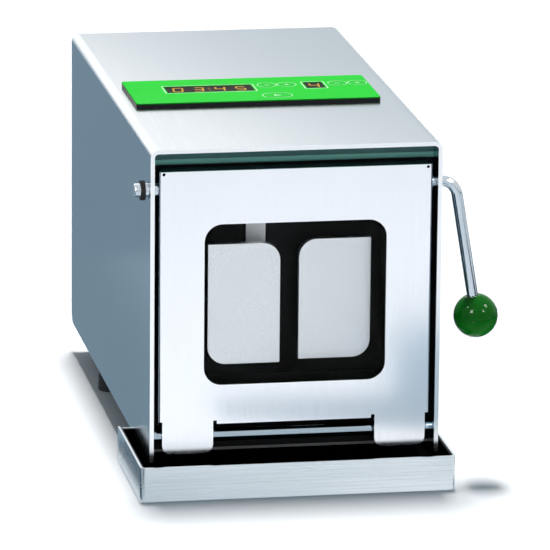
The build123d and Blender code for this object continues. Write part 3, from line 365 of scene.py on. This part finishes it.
# The ring's section is a rounded rectangle carried round the shaft: the cosine and sine of
# an angle, each stretched and cut off at 1.
ring_low, ring_high = measured("retaining_ring")
ring_outer = (ring_high[2] - ring_low[2]) / 2
turn = np.linspace(0, 2 * np.pi, 25)
stretch_along, stretch_out = 2.4, 2.0
lengthwise = np.clip(stretch_along * np.cos(turn), -1, 1) * (ring_high[0] - ring_low[0]) / 2
outward = np.clip(stretch_out * np.sin(turn), -1, 1) * (ring_outer - shaft_radius) / 2
ring_profile = np.stack([(ring_low[0] + ring_high[0]) / 2 + lengthwise,
                         (shaft_radius + ring_outer) / 2 + outward], axis=1)
skin("shaft_ring", [lathe(ring_profile, lever_axis, along_x)], black_rubber, "lever",
     ["retaining_ring"])

# The bushes are black acetal, moulded with a faint waviness of about 2 mm.
acetal = grained("black_acetal", "121214", "0B0B0C", (2, 2, 2), (0.32, 0.42), 0.006)
dress(acetal, "lever_bushes")

# ---------------------------------------------------------------- lever rod and ball knob
# An 8 mm polished rod out of the shaft's end, bent down beside the casing.  The ball knob
# screwed on it is moulded in two halves that leave a fine line round its middle.

rod_radius, bend_radius = 4.0, 12.0
lean, drop = math.radians(9.6), 100.0
socket_x, bend_start = measured("lever_rod")[0][0], 106.0
straight_steps, bend_steps, arm_steps = 8, 40, 24
lever_y, lever_z = lever_axis[1:]
sweep = np.linspace(0, math.pi / 2 - lean, bend_steps)
bend = np.stack([bend_start + bend_radius * np.sin(sweep), np.full(bend_steps, lever_y),
                 lever_z - bend_radius * (1 - np.cos(sweep))], axis=1)
# The ball's middle lies below the shaft by the drop, on the line that leaves the bend, and
# the rod stops 2 mm short of it.
knob_x = bend[-1, 0] + (bend[-1, 2] - lever_z + drop) * math.tan(lean)
knob = np.array((knob_x, lever_y, lever_z - drop))
down = np.array((math.sin(lean), 0.0, -math.cos(lean)))
rod_short = 2.0
rod_end = knob - rod_short * down
straight = np.linspace((socket_x, lever_y, lever_z), (bend_start, lever_y, lever_z), straight_steps)
arm = np.linspace(bend[-1], rod_end, arm_steps)
rod_path = np.concatenate([straight[:-1], bend, arm[1:]])


def pipe(path, radius, around=64):
    """Carry a circle along a path that stays in the plane of X and Z.

    Each ring lies in the plane of Y and the path's own normal; the path's two end points
    close it as poles.
    """
    along = np.gradient(path, axis=0)
    along /= np.linalg.norm(along, axis=1, keepdims=True)
    level = np.array((0.0, 1.0, 0.0))
    normal = np.cross(along, level)
    t = np.linspace(0, 2 * np.pi, around + 1)[None, :, None]
    rings = path[:, None] + radius * (np.cos(t) * level + np.sin(t) * normal[:, None])
    first, last = (np.broadcast_to(pole, (1, around + 1, 3)) for pole in (path[0], path[-1]))
    return np.concatenate([first, rings, last])


skin("bent_lever_rod", [pipe(rod_path, rod_radius)], polished_steel, "lever", ["lever_rod"])

# Phenolic resin, polished: deep bottle green under a clear gloss.
phenolic = grained("polished_phenolic", "0C6A16", "0A6213", (14, 14, 14), (0.08, 0.11), 0.0006,
                   Specular_IOR_Level=0.08)
ball_radius, mouth_radius = 16.0, 5.6
# Angles run from the mouth to the far pole, closest together round the parting line, which
# is a groove 0.45 mm deep and about 0.8 mm wide.
groove_depth, groove_half = 0.45, 0.4
close_from, close_to, close_step = 1.525, 1.617, 0.005
angle = np.concatenate([
    np.linspace(math.asin(mouth_radius / ball_radius), close_from - close_step, 60),
    np.linspace(close_from, close_to, 30),
    np.linspace(close_to + close_step, math.pi, 64)])
off_middle = (angle - math.pi / 2) * ball_radius
ball_r = ball_radius - groove_depth * np.exp(-(off_middle / groove_half) ** 2)
ball = np.stack([-ball_r * np.cos(angle), ball_r * np.sin(angle)], axis=1)
# A flat ring round the mouth and a shallow cone inside it close the ball round the rod.
cone_depth, rod_gap = 0.6, 0.3
mouth = ball[0, 0]
collar = np.array([(mouth + cone_depth, 0.0), (mouth + cone_depth, rod_radius),
                   (mouth, rod_radius + rod_gap)])
skin("ball_knob", [lathe(np.concatenate([collar, ball]), knob, down, 128)], phenolic, "lever",
     ["lever_knob"], crease=50)

# ---------------------------------------------------------------- drip tray
# A folded stainless skirt, brushed along its length, lined with a glossy black moulding.
# It slides out forward from under the door.

# Brushing runs round the skirt in lines of 0.1 mm, drawn 0.8 mm high.
tray_steel = grained("long_brushed_steel", "E0E8EE", "CDD8E0", (60, 60, 0.8), (0.2, 0.3), 0.001,
                     metallic=1.0, patch=90)
dress(tray_steel, "tray_skirt")
# The liner comes from a polished mould: glossy, with a slow waviness of about 8 mm.
gloss_black = grained("gloss_black_moulding", "0F1012", "0B0C0D", (8, 8, 8), (0.16, 0.22), 0.004,
                      Specular_IOR_Level=0.04)
dress(gloss_black, "tray_liner")

# ---------------------------------------------------------------- control panel
# A black moulded base plate with a green polyester film over it.  Film, windows and key
# rims are screen printed, and the keys are domes of the same film.

# Matt polyester film in a bright green ink; the screen's 0.1 mm mesh is drawn 0.7 mm wide.
film = grained("green_printed_film", "24C437", "20C032", (0.7, 0.7, 0.7), (0.45, 0.55), 0.001,
               Specular_IOR_Level=0.02)
dress(film, "panel_overlay", "time_key_less", "time_key_more", "speed_key_less", "speed_key_more",
      "start_key")
# ABS from an etched mould is matt, with a grain drawn 0.9 mm wide.
black_abs = grained("black_moulded_abs", "0E0E10", "08080A", (0.9, 0.9, 0.9), (0.38, 0.52), 0.01,
                    Specular_IOR_Level=0.3)
dress(black_abs, "panel_plate")
# The smoked filter over the figures is nearly black, with hardly any gloss.
smoked = grained("smoked_filter", "0A0906", "060504", (20, 20, 20), (0.3, 0.4), 0.001,
                 Specular_IOR_Level=0.01)
dress(smoked, "time_display", "speed_display")
# White screen ink, which takes a little green from the film.
white_ink = grained("white_ink", "D9F5DB", "C9EFCC", (0.8, 0.8, 0.8), (0.4, 0.5), 0.001,
                    Specular_IOR_Level=0.02)
# Lit segments glow amber by themselves behind the filter.
amber = grained("lit_amber_segment", "6E5512", "62490C", (3, 3, 3), (0.3, 0.4), 0.001,
                Specular_IOR_Level=0.01, Emission_Color=linear("D9A92E"), Emission_Strength=0.7)


def frame_line(x, y, z, half_x, half_y, radius, width, around=72):
    """A flat line on a rounded rectangle.

    Each point of a circle is pushed out to the corner centre of its own quarter; the line
    lies between two such outlines whose radii differ by its width.
    """
    t = np.linspace(0, 2 * np.pi, around + 1)
    corner_x = x + half_x * np.sign(np.round(np.cos(t), 9))
    corner_y = y + half_y * np.sign(np.round(np.sin(t), 9))
    height = np.full(around + 1, z)
    outlines = [np.stack([corner_x + r * np.cos(t), corner_y + r * np.sin(t), height], axis=1)
                for r in (radius + width / 2, radius - width / 2)]
    return np.stack(outlines)


def stroke(x, y, z, dx, dy, width):
    """A flat stroke with pointed ends, from (x, y) by (dx, dy): its half width is 0 at both
    ends and full from one half width in."""
    length = math.hypot(dx, dy)
    u = np.array((dx, dy)) / length
    v = np.array((-u[1], u[0]))
    s = np.array((0, width / 2, length - width / 2, length))
    w = np.array((0, width / 2, width / 2, 0))
    rows = [np.column_stack([np.array((x, y)) + s[:, None] * u + side * w[:, None] * v, np.full(4, z)])
            for side in (-1, 1)]
    return np.stack(rows)


# Each segment's start, and its run and climb, in halves of a figure's width and height.
segments = {"a": (-1, 1, 2, 0), "g": (-1, 0, 2, 0), "d": (-1, -1, 2, 0), "f": (-1, 0, 0, 1),
            "b": (1, 0, 0, 1), "e": (-1, -1, 0, 1), "c": (1, -1, 0, 1)}
lit = {"0": "abcdef", "3": "abcdg", "4": "bcfg", "5": "acdfg"}


def digit(figure, x, y, z, half_x=3.3, half_y=6.0, width=1.5, lean_over=0.1):
    """Strokes of one seven segment figure, leaning to the right by a share of its height."""
    made = []
    for letter in lit[figure]:
        start_x, start_y, run, climb = segments[letter]
        made.append(stroke(x + start_x * half_x + lean_over * start_y * half_y, y + start_y * half_y, z,
                           run * half_x + lean_over * climb * half_y, climb * half_y, width))
    return made


def middle(node):
    """Middle of a CAD node's box, in mm."""
    low, high = measured(node)
    return (low + high) / 2


# The figures lie 0.02 mm over the filters, and the ink 0.03 mm over the film.
digit_z = measured("time_display")[1][2] + 0.02
ink_z = measured("panel_overlay")[1][2] + 0.03
time_x, time_y, _ = middle("time_display")
speed_x, speed_y, _ = middle("speed_display")
dot_size, dot_shift = 1.6, 3.0
shown = []
for figure, shift in (("0", -23.4), ("3", -8.0), ("4", 8.0), ("5", 23.4)):
    shown += digit(figure, time_x + shift, time_y, digit_z)
for shift in (-dot_shift, dot_shift):
    shown.append(stroke(time_x - dot_size / 2, time_y + shift, digit_z, dot_size, 0.0, dot_size))
shown += digit("4", speed_x, speed_y, digit_z)
skin("lit_figures", shown, amber, "root", flat=True)

# White lines are printed round the two windows and the five keys.
window_border, window_corner, window_line = 1.7, 1.4, 0.7
rim_radius, rim_line, start_half = 7.0, 0.5, 4.0
keys = {"time_less": "time_key_less", "time_more": "time_key_more",
        "speed_less": "speed_key_less", "speed_more": "speed_key_more"}
printed = []
for display in ("time_display", "speed_display"):
    low, high = measured(display)
    half_x, half_y, _ = (high - low) / 2 + window_border - window_corner
    x, y, _ = middle(display)
    printed.append(frame_line(x, y, ink_z, half_x, half_y, window_corner, window_line))
for node in keys.values():
    x, y, _ = middle(node)
    printed.append(frame_line(x, y, ink_z, 0, 0, rim_radius, rim_line))
start_x, start_y, _ = middle("start_key")
printed.append(frame_line(start_x, start_y, ink_z, start_half, 0, rim_radius, rim_line))
skin("film_print", printed, white_ink, "root", flat=True)

# Minus and plus signs ride on their keys.
sign_arm, sign_line = 2.2, 0.8
for body, node in keys.items():
    x, y, _ = middle(node)
    marks = [stroke(x - sign_arm, y, ink_z, 2 * sign_arm, 0, sign_line)]
    if body.endswith("more"):
        marks.append(stroke(x, y - sign_arm, ink_z, 0, 2 * sign_arm, sign_line))
    skin(body + "_mark", marks, white_ink, body, flat=True)
# The start mark is a triangle: three strokes from corner to corner.
corners = np.array([(-1.9, -2.4), (2.5, 0.0), (-1.9, 2.4)]) + (start_x, start_y)
sides = np.roll(corners, -1, axis=0) - corners
skin("start_mark", [stroke(*corner, ink_z, *side, sign_line) for corner, side in zip(corners, sides)],
     white_ink, "start", flat=True)

# ---------------------------------------------------------------- rear fittings and feet
# A moulded inlet and rocker switch in the rear panel, button head screws along its sides,
# and four moulded rubber feet under the base plate.

dress(black_abs, "power_inlet", "switch_housing", "power_rocker")


def button_head(x, y, z, radius=3.0, height=2.0, socket_half=1.1, socket_floor=0.5, fall=0.55, around=49):
    """Head of a socket screw that faces the rear.

    Its crown falls off with the square of the radius; inside six flats the height drops to
    the socket's floor.  A point's angle gives its distance to the nearest flat.
    """
    # Circles from the middle past the socket's corners, then over the crown to the rim.
    r = np.concatenate([np.linspace(0, 1.45, 12), np.linspace(1.5, 2.2, 6), np.linspace(2.3, radius, 8)])
    t = np.linspace(0, 2 * np.pi, around)
    radial, turned_by = np.meshgrid(r, t, indexing="ij")
    sector = (turned_by + np.pi / 6) % (np.pi / 3) - np.pi / 6
    crown = height * (1 - fall * (radial / radius) ** 2)
    top = np.where(radial * np.cos(sector) < socket_half, socket_floor, crown)
    head = np.stack([x + radial * np.cos(turned_by), y + top, z + radial * np.sin(turned_by)], axis=-1)
    seat = np.stack([head[-1, :, 0], np.full(around, y), head[-1, :, 2]], axis=1)
    rim = np.stack([head[-1], seat])
    underside = np.stack([seat, np.broadcast_to((x, y, z), (around, 3))])
    return [head, rim, underside]


panel_low, panel_high = measured("rear_panel")
inset_x, inset_z = 8.0, 16.0
heads = []
for x in (panel_low[0] + inset_x, panel_high[0] - inset_x):
    for z in np.linspace(panel_low[2] + inset_z, panel_high[2] - inset_z, 3):
        heads += button_head(x, panel_high[1], z)
skin("rear_screw_heads", heads, turned_steel, "root", ["rear_screws"], crease=40)

# Each foot tapers upwards from a rounded rim.  The rear ones stand 4 mm further out.
foot_radius, foot_top_radius, step_out = 9.0, 7.6, 4.0
feet_low, feet_high = measured("feet")
foot_top = feet_high[2] - 0.01
foot_profile = [(0, 0), (0, 8.2), (0.25, 8.75), (0.8, foot_radius), (1.6, 8.9), (foot_top, foot_top_radius),
                (foot_top, 0)]
rear_x, rear_y = feet_high[0] - foot_radius, feet_high[1] - foot_radius
front_x, front_y = rear_x - step_out, feet_low[1] + foot_radius
foot_places = [(side * x, y, 0) for x, y in ((front_x, front_y), (rear_x, rear_y)) for side in (-1, 1)]
skin("rubber_feet", [lathe(foot_profile, place, (0, 0, 1), 72) for place in foot_places], black_rubber,
     "root", ["feet"])

# ---------------------------------------------------------------- floor and light
# A plain white paper floor under one soft lamp, nearly overhead, and a low cool sky.  Cards
# that only bright metal mirrors stand and lie round the part, as in a product studio.

reach, level = 30.0, -0.0001
ground = bpy.data.meshes.new("floor")
ground.from_pydata([(-reach, -reach, level), (reach, -reach, level),
                    (reach, reach, level), (-reach, reach, level)], [], [(0, 1, 2, 3)])
floor = bpy.data.objects.new("floor", ground)
bpy.context.scene.collection.objects.link(floor)


def seen_directly(tree):
    """1 for rays of the camera, of mirrors and of glass, and 0 once a matt face has been met."""
    ray = add(tree, "ShaderNodeLightPath")
    eye_or_mirror = add(tree, "ShaderNodeMath", {"operation": "MAXIMUM"},
                        wires={0: ray.outputs["Is Camera Ray"], 1: ray.outputs["Is Glossy Ray"]})
    or_glass = add(tree, "ShaderNodeMath", {"operation": "MAXIMUM"},
                   wires={0: eye_or_mirror.outputs[0], 1: ray.outputs["Is Transmission Ray"]})
    no_matt = add(tree, "ShaderNodeMath", {"operation": "LESS_THAN"}, {1: 0.5},
                  {0: ray.outputs["Diffuse Depth"]})
    both = add(tree, "ShaderNodeMath", {"operation": "MULTIPLY"},
               wires={0: or_glass.outputs[0], 1: no_matt.outputs[0]})
    return both.outputs[0]


# White paper, plain and matt, so that the lamp's light alone draws the shadow on it.
paper = bpy.data.materials.new("white_paper_floor")
paper.use_nodes = True
paper_tree = paper.node_tree
paper_tree.nodes.clear()
matt = add(paper_tree, "ShaderNodeBsdfDiffuse", values={"Color": linear("FDFDFE")})
add(paper_tree, "ShaderNodeOutputMaterial", wires={"Surface": matt.outputs[0]})
ground.materials.append(paper)

world = bpy.data.worlds.new("studio")
bpy.context.scene.world = world
world.use_nodes = True
world_tree = world.node_tree
world_tree.nodes.clear()
# What lights the matt faces is a low cool sky; what is seen and mirrored is white.
white = linear("FFFFFF")
sky_tone = add(world_tree, "ShaderNodeMix", {"data_type": "RGBA"}, {6: linear("89949B"), 7: white},
               {0: seen_directly(world_tree)})
sky = add(world_tree, "ShaderNodeBackground", wires={"Color": sky_tone.outputs[2]})
add(world_tree, "ShaderNodeOutputWorld", wires={"Surface": sky.outputs[0]})

# The lamp is a soft box 4.5 m up, narrow from side to side and long from front to rear.
lamp_place, lamp_aim = Vector((0.0, 0.88, 4.5)), Vector((0.0, 0.15, 0.1))
lamp = bpy.data.lights.new("overhead", "AREA")
lamp.shape = "RECTANGLE"
lamp.size, lamp.size_y = 0.45, 1.0
lamp.energy = 187
overhead = bpy.data.objects.new("overhead", lamp)
overhead.location = lamp_place
overhead.rotation_euler = (lamp_aim - lamp_place).to_track_quat("-Z", "Y").to_euler()
overhead.visible_camera = False
overhead.visible_glossy = False
bpy.context.scene.collection.objects.link(overhead)


def card(name, corners, near, far=None, across=None):
    """A flat card that only mirrors see: it gives bright metal its tones.

    near and far are colours in linear light.  across holds a direction and the two places
    along it, in metres, between which near fades into far.
    """
    mesh = bpy.data.meshes.new(name)
    mesh.from_pydata(corners, [], [(0, 1, 2, 3)])
    glow = bpy.data.materials.new(name)
    glow.use_nodes = True
    tree = glow.node_tree
    tree.nodes.clear()
    even = add(tree, "ShaderNodeEmission", values={"Color": near}, wires={"Strength": seen_directly(tree)})
    if far:
        direction, begin, end = across
        place = add(tree, "ShaderNodeTexCoord").outputs["Object"]
        along = add(tree, "ShaderNodeVectorMath", {"operation": "DOT_PRODUCT"}, {1: direction},
                    {0: place})
        share = add(tree, "ShaderNodeMapRange", {"interpolation_type": "SMOOTHSTEP"},
                    {"From Min": begin, "From Max": end}, {"Value": along.outputs["Value"]})
        mixed = add(tree, "ShaderNodeMix", {"data_type": "RGBA"}, {6: near, 7: far},
                    {0: share.outputs[0]})
        tree.links.new(mixed.outputs[2], even.inputs["Color"])
    add(tree, "ShaderNodeOutputMaterial", wires={"Surface": even.outputs[0]})
    mesh.materials.append(glow)
    hung = bpy.data.objects.new(name, mesh)
    bpy.context.scene.collection.objects.link(hung)
    for ray in ("camera", "diffuse", "transmission", "shadow", "volume_scatter"):
        setattr(hung, "visible_" + ray, False)


# The roof mirrors what stands behind: bright to the upper left, plain white to the right.
behind_y = 1.5
card("bright_card_behind",
     [(x, behind_y, z) for x, z in ((-1.6, 0.2), (0.7, 0.2), (0.7, 2.0), (-1.6, 2.0))],
     [2.05, 1.9, 1.8, 1.0], linear("F3F7F8"), ((10.0, 0.0, -20.0), -11.1, -8.1))
# The ball knob mirrors four soft boxes in front of it, two to each side.
box_distance, box_strength = 4, 50
for name, towards, size in (("box_left_high", (-0.654, -0.248, 0.712), 0.5),
                            ("box_left_low", (-0.499, -0.693, 0.518), 1.1),
                            ("box_right_high", (0.668, -0.2125, 0.713), 0.8),
                            ("box_right_low", (0.509, -0.702, 0.497), 0.7)):
    towards = Vector(towards)
    across = towards.cross((0, 0, 1)).normalized() * size / 2
    rise = across.cross(towards)
    centre = Vector(knob * mm) + box_distance * towards
    card(name, [centre + a * across + b * rise for a, b in ((-1, -1), (1, -1), (1, 1), (-1, 1))],
         [box_strength * c for c in white])


def lying_card(name, outline, near, far=None, across=None):
    """A card on the floor, from its corners' X and Y in metres."""
    lying = 0.0003
    card(name, [(x, y, lying) for x, y in outline], near, far, across)


def oblong(left, right, front, rear):
    """Corners of a rectangle on the floor, in metres."""
    return [(left, front), (right, front), (right, rear), (left, rear)]


# Upright faces mirror the floor beside and before them.  Cards to the left give the tray's
# side and the casing's left side their blue-grey.
lying_card("grey_card_tray", oblong(-0.2, -0.12, -0.06, 0.14), linear("4E6472"))
lying_card("grey_card_near", oblong(-0.2, -0.05, 0.14, 0.69), linear("8AA0AE"))
lying_card("grey_card_left", oblong(-1.2, -0.2, 0.0, 0.69), linear("A5BAC7"))
lying_card("grey_card_behind", oblong(-1.2, -0.05, 0.69, 2.2), linear("8AA0AF"))
# Cards in front grade the foot of the door and the front of the tray.
lying_card("grey_card_front", [(-0.02, -0.235), (0.9, -0.235), (0.22, -0.095), (-0.02, -0.19)],
           linear("AFC0CC"))
lying_card("grey_card_front_right", [(0.155, -0.43), (0.9, -0.6), (0.9, -0.235), (0.12, -0.235)],
           linear("AFC4D3"))
lying_card("white_card_tray", oblong(-0.2, 0.3, -0.12, -0.0215), linear("DCE2E6"),
           [1.05 * c for c in white], ((1.0, 0.0, 0.0), -0.13, 0.13))
# Dark cards give the round bars their dark streaks.
lying_card("dark_card_right", [(0.337, -0.212), (1.04, -0.92), (1.4, -0.226), (0.42, -0.052)],
           linear("39434B"))
lying_card("dark_card_left", [(-0.15, -0.265), (-0.15, -0.04), (-1.3, -0.13), (-1.3, -1.3)],
           linear("2E363D"))
lying_card("dark_card_rod", oblong(0.17, 1.3, 0.0, 1.1), linear("5A6770"))

# ---------------------------------------------------------------- camera
# The photograph's own viewpoint, found from the casing's edges: place in mm, turn, dip and
# roll in radians, and focal length and middle point in the photograph's pixels.

eye = np.array((-686.892, -3746.551, 1136.225))
yaw, dip, roll = 0.178279, 0.251238, 0.010090
focal, middle_x, middle_y, photo_size = 5531.087, 279.917, 275.248, 550.0
film_width = 36.0
forward = np.array((math.sin(yaw) * math.cos(dip), math.cos(yaw) * math.cos(dip), -math.sin(dip)))
level_right = np.cross(forward, (0.0, 0.0, 1.0))
level_right /= np.linalg.norm(level_right)
level_up = np.cross(level_right, forward)
right = level_right * math.cos(roll) + level_up * math.sin(roll)
upward = level_up * math.cos(roll) - level_right * math.sin(roll)
turned = np.stack([right, upward, -forward], axis=1)
camera = bpy.data.objects.new("camera", bpy.data.cameras.new("camera"))
camera.matrix_world = Matrix([[*row, place] for row, place in zip(turned, eye * mm)] + [[0, 0, 0, 1]])
camera.data.sensor_width = film_width
camera.data.lens = film_width * focal / photo_size
camera.data.shift_x = (photo_size / 2 - middle_x) / photo_size
camera.data.shift_y = (middle_y - photo_size / 2) / photo_size
camera.data.clip_end = 100.0
bpy.context.scene.collection.objects.link(camera)
bpy.context.scene.camera = camera
bpy.context.scene.view_settings.view_transform = "Standard"
